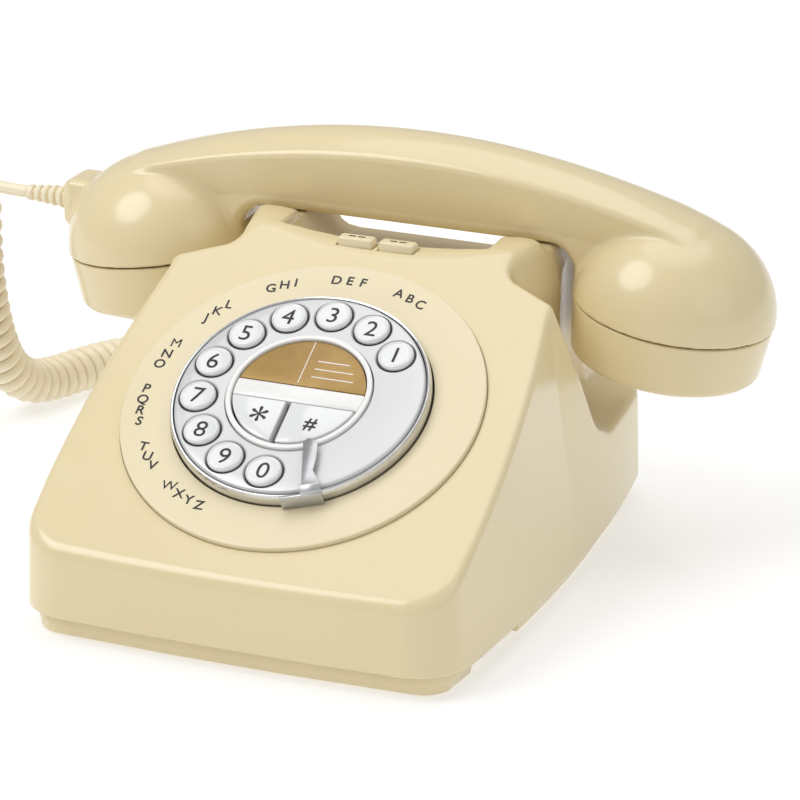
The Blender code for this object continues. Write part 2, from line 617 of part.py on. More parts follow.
def make_hook():
    """The two plungers that the handset presses, and the bar that joins them inside."""
    low, radius = HOOK_BAR_TOP + GAP, PLUNGER_RADIUS
    for name, side in (("left", -1), ("right", 1)):
        shoulder = [(radius, PLUNGER_TOP - 1.15), (radius - 1.0, PLUNGER_TOP - 0.15)]
        profile = [(0, low), (radius, low)] + shoulder
        plunger = turned("hook_plunger_" + name, profile + [(0, PLUNGER_TOP)], 16, "ivory_trim")
        place(plunger, Matrix.Translation((side * PLUNGER_X, PLUNGER_Y, 0)))
    bar = box("hook_bar", (-43, PLUNGER_Y - 3.2, HOOK_BAR_TOP - 3.5), (43, PLUNGER_Y + 3.2, HOOK_BAR_TOP))
    stem = box("bar_stem", (-3, PLUNGER_Y - 2, 38), (3, PLUNGER_Y + 2, HOOK_BAR_TOP - 3))
    finish(join(bar, stem), "dark_plastic")


def make_back_panel():
    """The line socket and the ringer switch behind the case's rear wall."""
    x, z = LINE_SOCKET_X, LINE_SOCKET_Z
    socket = box("line_socket", (x - 8, 78, z - 7), (x + 8, 91.6, z + 7))
    cut(socket, box("socket_mouth", (x - 5.2, 80.5, z - 3.8), (x + 5.2, 95, z + 3.2)),
        box("latch_slot", (x - 2.2, 82, z - 5.6), (x + 2.2, 95, z - 3.4)))
    finish(socket, "dark_plastic")
    switch = box("ringer_switch", (-2.4, 0, -2.1), (2.4, 4.2, 2.1))
    join(switch, box("switch_base", (-3.2, -3, -1.6), (3.2, 0.5, 1.6)))
    place(finish(switch, "dark_plastic"), Matrix.Translation((SWITCH_X + SWITCH_OFFSET, 89.6, SWITCH_Z)))


# ---------------------------------------------------------------- handset

def cup_frame(side):
    """The cup's own frame: its origin is the seam's centre and its Z leans outwards."""
    return Matrix.Translation((side * CUP_X, CUP_Y, SEAM_Z)) @ Matrix.Rotation(side * CUP_TILT, 4, "Y")


def dome(name, side, radius, height, sink=0.0, segments=40):
    """Half an ellipsoid on the seam, or with a skirt that sinks below it."""
    profile = [(0, -sink), (radius, -sink)] if sink else [(0, 0)]
    for degrees in range(0, 90, 10):
        a = math.radians(degrees)
        profile.append((radius * math.cos(a), height * math.sin(a)))
    return turned(name, profile + [(0, height)], segments, frame=cup_frame(side))


def handle_section(x):
    """The handle's outline at x: crowned top between two creases, flat sides, rounded belly."""
    top = HANDLE_TOP_Z - HANDLE_TOP_FALL * x * x - 0.004 * max(0.0, abs(x) - 84.0) ** 2
    crease = CREASE_Z - CREASE_FALL * x * x - 0.012 * max(0.0, abs(x) - 80.0) ** 2
    past = max(0.0, abs(x) - 44.0)
    bottom = min(HANDLE_BOTTOM_Z - 0.006 * past * past, crease - 6.0)
    section = []
    for i in range(9):
        t = -1 + i / 4
        section.append((CUP_Y + HANDLE_HALF_DEPTH * t, crease + (top - crease) * (1 - t * t)))
    low = HANDLE_BOTTOM_HALF_DEPTH
    belly = [(low + 0.5, bottom + 4.2), (low - 1.0, bottom + 1.2), (low - 4.0, bottom)]
    section += [(CUP_Y + y, z) for y, z in belly]
    section += [(CUP_Y - y, z) for y, z in reversed(belly)]
    return [(x, y, z) for y, z in section]


def neck(side):
    """The handle's end, which turns down in a quarter circle and meets the dome."""
    outer = CUP_X - 29.0
    outline = [(NECK_START - 2.0, 93.0)]
    outline += arc((outer - NECK_RADIUS, HANDLE_BOTTOM_Z - NECK_RADIUS), NECK_RADIUS, 90, 0, 5)
    outline += [(outer, 78.4), (62.0, 77.2), (66.0, 93.0)]
    half = HANDLE_BOTTOM_HALF_DEPTH - 0.2
    return extruded("neck", [(side * x, z) for x, z in outline], CUP_Y - half, CUP_Y + half, "Y")


def make_handset_shell():
    """The handle and both domes, hollow above the caps."""
    stations = [HANDLE_END * i / 10 for i in range(-10, 11)]
    shell = loft("handset_shell", [handle_section(x) for x in stations])
    for side in (-1, 1):
        join(shell, dome("dome", side, CUP_RADIUS, DOME_HEIGHT), neck(side))
    for side in (-1, 1):
        cut(shell, dome("dome_inside", side, CUP_RADIUS - SHELL_WALL, DOME_HEIGHT - SHELL_WALL, 6.0, 28))
    return finish(shell, "ivory_plastic")


def make_cap(name, side):
    """A cup-shaped cap with a ring of sound holes around a middle one."""
    outer = [(0, -CAP_DEPTH), (19.5, -CAP_DEPTH), (23.5, -CAP_DEPTH + 0.9)]
    outer += [(CAP_RIM_RADIUS - 1.0, -CAP_RIM_DEPTH - 0.9), (CAP_RIM_RADIUS, -CAP_RIM_DEPTH)]
    outer += [(CUP_RADIUS - 0.5, -1.2), (CUP_RADIUS - 0.8, -0.6)]
    inner = [(27.8, -0.6), (26.2, -CAP_RIM_DEPTH), (22.0, -CAP_DEPTH + 2.4), (0, -CAP_DEPTH + 2.4)]
    cap = turned(name, outer + inner, 40, frame=cup_frame(side))
    places = [(0.0, 0.0)] + arc((0, 0), SOUND_HOLE_CIRCLE, 0, 360 - 360 / SOUND_HOLES, SOUND_HOLES - 1)
    for x, y in places:
        frame = cup_frame(side) @ Matrix.Translation((x, y, 0))
        cut(cap, round_cutter(1.3, -CAP_DEPTH - 2, -CAP_DEPTH + 5, frame, 8))
    return finish(cap, "ivory_plastic")


def make_caps():
    """The earpiece is on the right and the mouthpiece on the left, where the cord leaves."""
    make_cap("earpiece_cap", 1)
    make_cap("mouthpiece_cap", -1)
    for name, side, radius in (("receiver_capsule", 1, 22.0), ("microphone_capsule", -1, 18.0)):
        profile = [(0, -15.6), (radius - 2, -15.6), (radius, -14), (radius, -7), (radius - 4, -5), (0, -5)]
        turned(name, profile, 28, "dark_plastic", frame=cup_frame(side))


def make_cord_boss():
    """The moulded block on the mouthpiece end that the cord's strain relief plugs into."""
    loops = []
    for x, grow in ((-98.0, 1.0), (-113.5, 1.0), (CORD_EXIT[0] + GAP, 0.84)):
        outline = rounded_rectangle(BOSS_HALF[0] * grow, BOSS_HALF[1] * grow, 2.4, 3)
        loops.append([(x, CUP_Y + y, CORD_EXIT[2] + 0.3 + z) for y, z in outline])
    boss = loft("cord_boss", loops)
    cut(boss, dome("dome_room", -1, CUP_RADIUS + GAP, DOME_HEIGHT + GAP, 12.0))
    return finish(boss, "ivory_plastic")


def ribbed_profile(length, thick, thin, ribs):
    """A tapered, ribbed strain relief as a turned profile along Z."""
    profile, slots = [(0, 0), (thick, 0)], 2 * ribs
    for i in range(slots):
        low, high = length * (i + 0.5) / (slots + 1), length * (i + 1.3) / (slots + 1)
        radius = thick + (thin - thick) * (i + 1) / slots
        radius -= 0.7 if i % 2 else 0.0
        profile += [(radius, low), (radius, high)]
    return profile + [(thin, length), (0, length)]


def make_strain_reliefs():
    along = Matrix.Translation(CORD_EXIT) @ Matrix.Rotation(-math.pi / 2, 4, "Y")
    profile = ribbed_profile(RELIEF_LENGTH, 3.7, 2.3, 5)
    turned("handset_strain_relief", profile, 12, "cord_vinyl", frame=along)
    back = Matrix.Translation(TAIL_SOCKET) @ Matrix.Rotation(-math.pi / 2, 4, "X")
    neck = [(0, -8), (3.2, -8), (3.2, -0.1)]
    profile = neck + ribbed_profile(TAIL_RELIEF_LENGTH, 4.6, 2.4, 5)[1:]
    turned("base_strain_relief", profile, 12, "cord_vinyl", frame=back)


def make_cord():
    tube("cord_lead", LEAD_ROUTE, CORD_RADIUS, 4.5, "cord_vinyl", 2)
    tube("cord_coil", COIL_ROUTE, COIL_RADIUS, 8.0, "cord_vinyl", 3)
    tube("cord_tail", TAIL_ROUTE, CORD_RADIUS, 4.5, "cord_vinyl", 2)


def main():
    for old in list(bpy.data.objects):
        bpy.data.objects.remove(old)
    make_case_cover()
    make_base_plate()
    make_feet()
    make_screws()
    make_inner_parts()
    make_number_ring()
    make_dial_disc()
    make_dial_rim()
    make_dial_carrier()
    make_centre_ring()
    make_label()
    make_digit_keys()
    make_soft_keys()
    make_finger_stop()
    make_function_keys()
    make_hook()
    make_back_panel()
    make_handset_shell()
    make_caps()
    make_cord_boss()
    make_strain_reliefs()
    make_cord()


main()
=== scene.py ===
"""Looks of the corded desk telephone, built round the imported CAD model.

The case cover and the handset are distance fields meshed finely, so their long soft edges and
hollow fillets are smooth, and the cover's openings are then cut out of it exactly. Turned parts are
turned again with rounded corners, small moulded parts get softened edges, and the dial's characters
are thin raised prints. Lengths are in millimetres until a mesh is made.
"""

import math

import bmesh
import bpy
import numpy as np
from mathutils import Matrix, Vector


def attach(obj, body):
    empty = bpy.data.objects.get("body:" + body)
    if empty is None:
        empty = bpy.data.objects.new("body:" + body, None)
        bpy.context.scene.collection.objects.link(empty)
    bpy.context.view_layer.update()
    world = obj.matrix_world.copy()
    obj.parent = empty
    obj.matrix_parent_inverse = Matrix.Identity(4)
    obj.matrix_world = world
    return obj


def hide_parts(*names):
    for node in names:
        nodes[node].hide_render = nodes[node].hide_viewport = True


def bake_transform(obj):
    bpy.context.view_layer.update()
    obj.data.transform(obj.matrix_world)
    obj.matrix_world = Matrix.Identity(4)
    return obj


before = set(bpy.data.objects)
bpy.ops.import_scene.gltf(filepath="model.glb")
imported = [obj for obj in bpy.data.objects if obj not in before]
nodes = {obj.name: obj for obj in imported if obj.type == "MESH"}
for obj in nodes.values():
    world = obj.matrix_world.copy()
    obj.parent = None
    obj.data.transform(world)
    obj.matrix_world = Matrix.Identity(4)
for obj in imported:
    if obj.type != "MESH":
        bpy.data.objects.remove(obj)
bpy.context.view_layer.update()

MM = 0.001
SLOPE = math.radians(29.5)  # the face with the dial leans back by this
DIAL = Matrix.Translation((0.0, -36.3, 62.1)) @ Matrix.Rotation(SLOPE, 4, "X")
CUP_X, CUP_Y, SEAM_Z = 83.4, 53.6, 73.4
CUP_TILT = math.radians(8.0)
WALL = 2.6
TROUGH_Z, RIDGE_BACK, HORN_INNER = 82.0, 27.5, 33.0  # the trough between the ridge and the two horns
FALL_Y, FALL = 64.0, 0.45  # where the trough's floor starts to fall to the rear, and how steeply
SADDLE_Z, SADDLE_FRONT, SADDLE_BACK = 91.2, 40.3, 69.5
PLUNGER_X = 38.5
FUNCTION_KEY_X, FUNCTION_KEY_Y, FUNCTION_KEY_TOP = 6.6, 22.4, 93.8
KEY_CIRCLE, KEY_RADIUS, KEY_FACE = 30.0, 5.3, 5.12
FIRST_KEY, KEY_STEP = 38.0, 25.8  # degrees round the dial
DIGITS = "1234567890"
DISC_TOP = 4.4
PRINT = 0.05  # half the thickness of a printed bar
LETTER_CIRCLE, LETTER_SIZE = 48.1, 3.3
LETTER_GROUPS = ("ABC", "DEF", "GHI", "JKL", "MNO", "PQRS", "TUV", "WXYZ")
FIRST_GROUP, GROUP_STEP = 67.6, 24.7  # degrees of the groups' middles
LETTER_WIDTHS = {"I": 3.2, "J": 4.2, "L": 4.6, "M": 6.0, "W": 6.4}  # degrees of the ring; others take 5
REAR_SLOPE = [(75.5, 96.0), (79.5, 88.0), (84.0, 76.0), (88.0, 62.0), (91.8, 44.0)]


# ---------------------------------------------------------------- camera

def make_camera():
    """A long lens, level with a person who looks down at the telephone from its right."""
    yaw, pitch, roll = (math.radians(a) for a in (21.144, 20.716, 0.588))
    ahead = Vector((-math.sin(yaw) * math.cos(pitch), math.cos(yaw) * math.cos(pitch), -math.sin(pitch)))
    right = Vector((math.cos(yaw), math.sin(yaw), 0.0))
    up = right.cross(ahead)
    turned_right = right * math.cos(roll) + up * math.sin(roll)
    turned_up = up * math.cos(roll) - right * math.sin(roll)
    data = bpy.data.cameras.new("camera")
    data.sensor_width, data.lens = 36.0, 180.0
    camera = bpy.data.objects.new("camera", data)
    bpy.context.scene.collection.objects.link(camera)
    axes = Matrix((turned_right, turned_up, -ahead)).transposed().to_4x4()
    camera.matrix_world = Matrix.Translation((0.415876, -1.033086, 0.471567)) @ axes
    bpy.context.scene.camera = camera


# ---------------------------------------------------------------- materials

def add_noise(tree, coordinate, scale, detail=3.0, roughness=0.55, stretch=(1.0, 1.0, 1.0)):
    """A noise texture over the object's own coordinates. Scale counts blobs per metre."""
    place = tree.nodes.new("ShaderNodeMapping")
    place.inputs["Scale"].default_value = stretch
    tree.links.new(coordinate, place.inputs["Vector"])
    noise = tree.nodes.new("ShaderNodeTexNoise")
    noise.inputs["Scale"].default_value = scale
    noise.inputs["Detail"].default_value = detail
    noise.inputs["Roughness"].default_value = roughness
    tree.links.new(place.outputs["Vector"], noise.inputs["Vector"])
    return noise.outputs["Fac"]


def add_range(tree, value, low, high):
    """Maps a noise to low...high."""
    ranged = tree.nodes.new("ShaderNodeMapRange")
    ranged.inputs["From Min"].default_value = 0.3
    ranged.inputs["From Max"].default_value = 0.7
    ranged.inputs["To Min"].default_value = low
    ranged.inputs["To Max"].default_value = high
    tree.links.new(value, ranged.inputs["Value"])
    return ranged.outputs["Result"]


def add_blend(tree, value, first, second):
    """A colour between two, by a noise."""
    ramp = tree.nodes.new("ShaderNodeValToRGB")
    ramp.color_ramp.elements[0].position = 0.32
    ramp.color_ramp.elements[0].color = (*first, 1.0)
    ramp.color_ramp.elements[1].position = 0.68
    ramp.color_ramp.elements[1].color = (*second, 1.0)
    tree.links.new(value, ramp.inputs["Fac"])
    return ramp.outputs["Color"]


def add_bump(tree, value, depth, normal=None):
    """Relief of a depth in millimetres."""
    bump = tree.nodes.new("ShaderNodeBump")
    bump.inputs["Strength"].default_value = 1.0
    bump.inputs["Distance"].default_value = depth * MM
    tree.links.new(value, bump.inputs["Height"])
    if normal is not None:
        tree.links.new(normal, bump.inputs["Normal"])
    return bump.outputs["Normal"]


def make_material(name, light, dark, roughness, mottle=30.0, grain=(900.0, 0.004), ripple=(60.0, 0.02),
                  metallic=0.0, coat=0.0, stretch=(1.0, 1.0, 1.0), spread=0.05):
    """Mottled colour, uneven gloss, slow ripples of the moulding and a fine grain."""
    made = bpy.data.materials.new(name)
    made.use_nodes = True
    tree = made.node_tree
    shader = tree.nodes["Principled BSDF"]
    coordinate = tree.nodes.new("ShaderNodeTexCoord").outputs["Object"]
    blotches = add_noise(tree, coordinate, mottle, stretch=stretch)
    tree.links.new(add_blend(tree, blotches, dark, light), shader.inputs["Base Color"])
    gloss = add_noise(tree, coordinate, mottle * 4.0, 5.0, 0.6, stretch)
    tree.links.new(add_range(tree, gloss, roughness - spread, roughness + spread), shader.inputs["Roughness"])
    waves = add_bump(tree, add_noise(tree, coordinate, ripple[0], 1.0), ripple[1])
    fine = add_bump(tree, add_noise(tree, coordinate, grain[0], 2.0, 0.5, stretch), grain[1], waves)
    tree.links.new(fine, shader.inputs["Normal"])
    shader.inputs["Metallic"].default_value = metallic
    shader.inputs["IOR"].default_value = 1.5
    shader.inputs["Coat Weight"].default_value = coat
    shader.inputs["Coat Roughness"].default_value = 0.06
    return made


def make_materials():
    """One material for every slot of the record, and the print on the dial, whose black also colours the
    painted shade round the keys.
    """
    made = {}

    def add(slot, *values, **more):
        made[slot] = make_material(slot, *values, **more)

    add("ivory_plastic", (0.790, 0.672, 0.412), (0.772, 0.652, 0.394), 0.24, 14.0, coat=0.25, spread=0.03)
    add("ivory_trim", (0.830, 0.725, 0.490), (0.812, 0.705, 0.470), 0.32, 20.0, coat=0.10, spread=0.03)
    add("silver_plastic", (0.660, 0.668, 0.665), (0.630, 0.638, 0.635), 0.33, 40.0, (1800.0, 0.003),
        metallic=0.25, coat=0.3)
    add("chrome", (0.700, 0.705, 0.710), (0.620, 0.625, 0.630), 0.14, 60.0, (1500.0, 0.002),
        metallic=1.0, stretch=(1.0, 6.0, 1.0), spread=0.04)
    add("satin_chrome", (0.560, 0.565, 0.575), (0.500, 0.505, 0.515), 0.36, 60.0, (1500.0, 0.002),
        metallic=0.75, stretch=(1.0, 6.0, 1.0), spread=0.04)
    add("white_plastic", (0.880, 0.875, 0.860), (0.860, 0.855, 0.835), 0.26, 25.0, coat=0.3)
    add("clear_key", (0.800, 0.810, 0.815), (0.775, 0.785, 0.790), 0.14, 60.0, (1200.0, 0.002), coat=0.8)
    add("card", (0.430, 0.270, 0.085), (0.370, 0.225, 0.068), 0.42, 150.0, (2500.0, 0.006), metallic=0.35,
        stretch=(1.0, 1.0, 0.4))
    add("black_rubber", (0.032, 0.031, 0.030), (0.018, 0.018, 0.018), 0.72, 300.0, (2600.0, 0.02))
    add("steel", (0.520, 0.525, 0.535), (0.430, 0.435, 0.445), 0.34, 120.0, (1600.0, 0.006), metallic=1.0,
        stretch=(6.0, 1.0, 1.0), spread=0.08)
    add("circuit_board", (0.020, 0.130, 0.050), (0.012, 0.085, 0.034), 0.45, 260.0, (1400.0, 0.02))
    add("dark_plastic", (0.036, 0.036, 0.038), (0.022, 0.022, 0.024), 0.42, 90.0, (1500.0, 0.01))
    add("cord_vinyl", (0.905, 0.815, 0.615), (0.880, 0.785, 0.580), 0.36, 70.0, (1300.0, 0.005), spread=0.04)
    # black of the printed characters, also used for the painted shade rings in the keys' gaps
    add("print_black_and_gap_shade", (0.012, 0.012, 0.013), (0.007, 0.007, 0.008), 0.38, 400.0, (2400.0, 0.004))
    add("print_white", (0.900, 0.890, 0.860), (0.870, 0.860, 0.830), 0.40, 400.0, (2400.0, 0.004))
    return made


# ---------------------------------------------------------------- meshes

def link(name, mesh, body, slot, material=None, angle=35.0):
    """An object that rides on a body and takes its finish from a slot."""
    piece = bpy.data.objects.new(name, mesh)
    bpy.context.scene.collection.objects.link(piece)
    mesh.materials.clear()
    mesh.materials.append(materials[material or slot])
    if angle:
        mesh.shade_smooth()
        mesh.set_sharp_from_angle(angle=math.radians(angle))
    if body:
        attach(piece, body)
    return piece


def make_mesh(name, points, faces):
    """A mesh from points in millimetres, its faces turned outwards."""
    shape = bmesh.new()
    made = [shape.verts.new(Vector(p) * MM) for p in points]
    for face in faces:
        shape.faces.new([made[i] for i in face])
    bmesh.ops.recalc_face_normals(shape, faces=shape.faces)
    mesh = bpy.data.meshes.new(name)
    shape.to_mesh(mesh)
    shape.free()
    return mesh


def soft_profile(corners, closed=False, steps=5):
    """A profile from (radius, height, rounding) corners, each rounded by an arc."""
    points = []
    count = len(corners)
    for i, (x, y, rounding) in enumerate(corners):
        if rounding <= 0 or (not closed and i in (0, count - 1)):
            points.append((x, y))
            continue
        here = Vector((x, y))
        before = Vector(corners[i - 1][:2]) - here
        after = Vector(corners[(i + 1) % count][:2]) - here
        half = before.angle(after) / 2
        reach = min(rounding / math.tan(half), 0.49 * before.length, 0.49 * after.length)
        start, end = here + before.normalized() * reach, here + after.normalized() * reach
        for k in range(steps + 1):
            t = k / steps
            point = start * (1 - t) ** 2 + here * (2 * t * (1 - t)) + end * t ** 2
            points.append((point.x, point.y))
    return points


def turned(name, profile, segments=96, ring=False, place=None):
    """A turned mesh about Z from (radius, height) points. A ring's profile closes on itself."""
    points, faces, rows = [], [], []
    for radius, height in profile:
        if radius < 1e-6:
            rows.append([len(points)] * segments)
            points.append(Vector((0, 0, height)))
            continue
        rows.append(list(range(len(points), len(points) + segments)))
        for i in range(segments):
            turn = 2 * math.pi * i / segments
            points.append(Vector((radius * math.cos(turn), radius * math.sin(turn), height)))
    pairs = list(zip(rows, rows[1:] + rows[:1])) if ring else list(zip(rows, rows[1:]))
    for lower, upper in pairs:
        for i in range(segments):
            j = (i + 1) % segments
            corners = list(dict.fromkeys((lower[i], lower[j], upper[j], upper[i])))
            if len(corners) > 2:
                faces.append(corners)
    if place is not None:
        points = [place @ p for p in points]
    return make_mesh(name, points, faces)


def box(name, x, y, z, wide, deep, high):
    """A block about a point."""
    ends = [(i, j, k) for i in (-0.5, 0.5) for j in (-0.5, 0.5) for k in (-0.5, 0.5)]
    points = [(x + i * wide, y + j * deep, z + k * high) for i, j, k in ends]
    faces = [(0, 1, 3, 2), (4, 6, 7, 5), (0, 4, 5, 1), (2, 3, 7, 6), (0, 2, 6, 4), (1, 5, 7, 3)]
    return make_mesh(name, points, faces)


def apply_modifiers(piece):
    """Turns what the modifiers show into the piece's own mesh."""
    bpy.context.view_layer.update()
    shown = piece.evaluated_get(bpy.context.evaluated_depsgraph_get())
    mesh = bpy.data.meshes.new_from_object(shown)
    piece.modifiers.clear()
    piece.data = mesh
    return piece


def carved(mesh, cutters):
    """A mesh with solids taken out of it."""
    piece = bpy.data.objects.new("carved", mesh)
    bpy.context.scene.collection.objects.link(piece)
    tools = []
    for cutter in cutters:
        tool = bpy.data.objects.new("cutter", cutter)
        bpy.context.scene.collection.objects.link(tool)
        modifier = piece.modifiers.new("cut", "BOOLEAN")
        modifier.operation = "DIFFERENCE"
        modifier.solver = "EXACT"
        modifier.object = tool
        tools.append(tool)
    apply_modifiers(piece)
    mesh = piece.data
    for extra in (piece, *tools):
        bpy.data.objects.remove(extra)
    return mesh


def softened(node, body, slot, width, segments=3, material=None):
    """A copy of a CAD node with its sharp edges rounded, which stands for the node."""
    shape = bmesh.new()
    shape.from_mesh(nodes[node].data)
    bmesh.ops.remove_doubles(shape, verts=shape.verts, dist=0.000002)
    bmesh.ops.dissolve_limit(shape, angle_limit=math.radians(1.5), verts=shape.verts, edges=shape.edges)
    mesh = bpy.data.meshes.new(node)
    shape.to_mesh(mesh)
    shape.free()
    piece = bpy.data.objects.new(node + "_moulded", mesh)
    bpy.context.scene.collection.objects.link(piece)
    bevel = piece.modifiers.new("bevel", "BEVEL")
    bevel.width = width * MM
    bevel.segments = segments
    bevel.limit_method = "ANGLE"
    bevel.angle_limit = math.radians(30)
    bevel.use_clamp_overlap = True
    apply_modifiers(piece)
    mesh = piece.data
    bpy.data.objects.remove(piece)
    piece = link(node + "_moulded", mesh, body, slot, material, 50.0)
    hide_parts(node)
    return piece


# ---------------------------------------------------------------- distance fields
# A field is below zero inside the solid, and near a surface it is the distance from it.

def round_max(a, b, radius):
    """Where both fields are solid, with the edge between them rounded."""
    corner = np.hypot(np.maximum(a + radius, 0), np.maximum(b + radius, 0))
    return np.minimum(np.maximum(a, b), -radius) + corner


def round_min(a, b, radius):
    """Where either field is solid, with a fillet in the corner between them."""
    return -round_max(-a, -b, radius)


def several_min(first, *others):
    """Where any of the fields is solid."""
    for other in others:
        first = np.minimum(first, other)
    return first


def case_block(x, y, z):
    """The case as a solid without openings or underside."""
    ax = np.abs(x)
    bulge = np.where(y < 0, 0.00075, 0.00094)
    lean = np.where(y < 5, 0.15 - 0.0012 * (5 - y), 0.15 - 0.0016 * (y - 5))
    side = (ax - (72.0 - bulge * y * y - (z - 7.0) * lean)) / 1.012
    front = -91.0 - 0.05 * np.minimum(z - 7.0, 22.0) - 1.4 * (1 - np.minimum(ax / 57.0, 1.0) ** 2) - y
    rear = y - (92.5 - 0.04 * (z - 7.0) + 0.4 * (1 - np.minimum(ax / 55.0, 1.0) ** 2))
    plan = round_max(round_max(side, front, 13.0), rear, 15.0)
    face = (z - (60.79 + (y + 35.56) * math.tan(SLOPE))) * math.cos(SLOPE)
    ridge = z - np.minimum(95.0, 91.3 + 3.9 * (ax / 40.0) ** 2)
    roof = round_max(face, ridge, 1.6)
    slope = -1e3
    for (y0, z0), (y1, z1) in zip(REAR_SLOPE, REAR_SLOPE[1:]):
        long = math.hypot(y1 - y0, z1 - z0)
        slope = np.maximum(slope, ((y - y0) * (z0 - z1) + (z - z0) * (y1 - y0)) / long)
    edge = 3.2 - 1.0 * np.clip((y + 88.0) / 20.0, 0, 1)
    block = round_max(round_max(plan, roof, edge), slope, 3.0)
    return round_max(round_max(block, -cradle_void(ax, y, z), 1.3), -cup_pocket(ax, y, z), 2.0)


def cradle_void(ax, y, z):
    """The trough under the handle, the notch behind it, and the saddle that the handle lies in."""
    bank = ((ax - HORN_INNER + 6.0) * 9.2 - (z - TROUGH_Z) * 6.0) / 10.98
    trough = round_max(round_max(TROUGH_Z - z, bank, 4.0), RIDGE_BACK - y, 3.0)
    trough = np.maximum(trough, ax - HORN_INNER)
    falling = (TROUGH_Z - FALL * np.maximum(y - FALL_Y, 0.0) - z) / 1.05
    notch = round_max(falling, np.maximum(ax - HORN_INNER - 3.0, FALL_Y - y), 2.0)
    saddle = round_max(SADDLE_Z - z, np.maximum(SADDLE_FRONT - y, y - SADDLE_BACK), 1.5)
    return several_min(trough, notch, saddle)


def cup_pocket(ax, y, z):
    """The room for one cup: behind the shoulder's leaning wall and outside the horn."""
    along, above = y + 0.4333 * (ax - 60.0), z + 0.24 * (ax - 60.0)
    leaning = -((along - 9.0) * 39.0 + (above - 86.0) * 23.5) / 45.53 / 1.116
    behind = round_max(leaning, (36.8 - above) / 1.028, 8.0)
    wall = 48.5 + 2.0 * np.clip((89.0 - z) / 11.0, 0, 1) + 1.5 * np.clip((78.0 - z) / 48.0, 0, 1.2)
    wall = wall - 0.227 * np.maximum(0.0, 44.0 - y)
    horn = round_max(ax - wall, z - 95.0, 6.0)
    cup = np.hypot(ax - CUP_X, y - CUP_Y) - 34.0
    return round_max(np.minimum(-horn, cup), behind, 4.5)


def case_field(x, y, z):
    """The case cover: the block hollowed from below."""
    block = case_block(x, y, z)
    solid = round_max(block, 7.0 - z, 1.0)
    return np.maximum(solid, -(block + WALL))


def case_openings():
    """Solids to take out of the cover: the dial's seat and every hole in the top and the rear."""
    seat = [(0, -12), (39.1, -12), (39.1, -2.5), (54.25, -2.5), (54.25, -0.35), (54.7, 0.1), (54.7, 12)]
    tools = [turned("seat", seat + [(0, 12)], 192, place=DIAL)]
    hole = [(0, -10), (3.4, -10), (3.4, 12), (0, 12)]
    for side in (-1, 1):
        tools.append(box("slot", side * FUNCTION_KEY_X, FUNCTION_KEY_Y, 88.0, 12.0, 5.4, 16.0))
        tools.append(turned("hole", hole, 48, place=Matrix.Translation((side * PLUNGER_X, CUP_Y, 91.0))))
    backwards = Matrix.Translation((-45.0, 92.0, 14.0)) @ Matrix.Rotation(math.pi / 2, 4, "X")
    tools.append(turned("entry", [(0, -12), (3.6, -12), (3.6, 12), (0, 12)], 48, place=backwards))
    tools.append(box("socket", 30.0, 92.0, 18.0, 16.6, 24.0, 14.6))
    tools.append(box("switch", -2.0, 92.0, 17.0, 13.0, 24.0, 5.0))
    return tools


def handset_field(x, y, z):
    """The handle, its turned-down necks, both domes hollow from below, and the cord's boss."""
    ax, across = np.abs(x), np.abs(y - CUP_Y)
    top = 118.5 - 0.00205 * x * x - 0.004 * np.maximum(0, ax - 84.0) ** 2
    crease = 113.2 - 0.0017 * x * x - 0.012 * np.maximum(0, ax - 80.0) ** 2
    bottom = np.minimum(91.5 - 0.006 * np.maximum(0, ax - 44.0) ** 2, crease - 6.0)
    fall = np.hypot(1.0, 0.0041 * ax)
    crown = (z - (crease + (top - crease) * (1 - np.minimum(across / 13.6, 1.1) ** 2))) / fall
    half = 10.4 + 3.2 * np.clip((z - bottom - 4.0) / (crease - bottom - 4.0), 0, 1)
    under = round_min((bottom - z) / fall, 54.4 - ax, 8.0)
    handle = round_max(round_max((across - half) * 0.985, crown, 1.5), under, 3.6)
    handle = np.maximum(round_max(handle, ax - 96.0, 5.0), 78.4 - z)
    out, up = ax - CUP_X, z - SEAM_Z
    lift = up * math.cos(CUP_TILT) + out * math.sin(CUP_TILT)
    away = np.hypot(out * math.cos(CUP_TILT) - up * math.sin(CUP_TILT), across)
    dome = round_max(ellipsoid(away, lift, 31.0, 28.5), -lift, 0.7)
    reach = 7.8 - 1.2 * np.clip((-x - 113.5) / 2.7, 0, 1)
    boss = round_max(across - reach, np.abs(z - 83.3) - reach, 2.4)
    boss = round_max(np.maximum(boss, x + 98.0), -x - 116.2, 1.0)
    shell = round_min(round_min(handle, dome, 1.6), boss, 1.6)
    room = np.maximum(ellipsoid(away, lift, 28.4, 25.9), -6.0 - lift)
    return np.maximum(shell, -room)


def ellipsoid(away, lift, radius, height):
    """Half an ellipsoid's field from the distance to its axis and the height over its middle."""
    scaled = np.hypot(away / radius, lift / height)
    return scaled * (scaled - 1) / np.maximum(np.hypot(away / radius ** 2, lift / height ** 2), 1e-6)


# ---------------------------------------------------------------- meshing a field

def sample(field, low, step, counts):
    """The field's values on a grid, in slabs to save memory."""
    axes = [low[i] + step * np.arange(counts[i]) for i in range(3)]
    values = np.empty(counts, np.float32)
    for first in range(0, counts[0], 16):
        grid = np.meshgrid(axes[0][first:first + 16], axes[1], axes[2], indexing="ij")
        values[first:first + 16] = field(*grid)
    return values


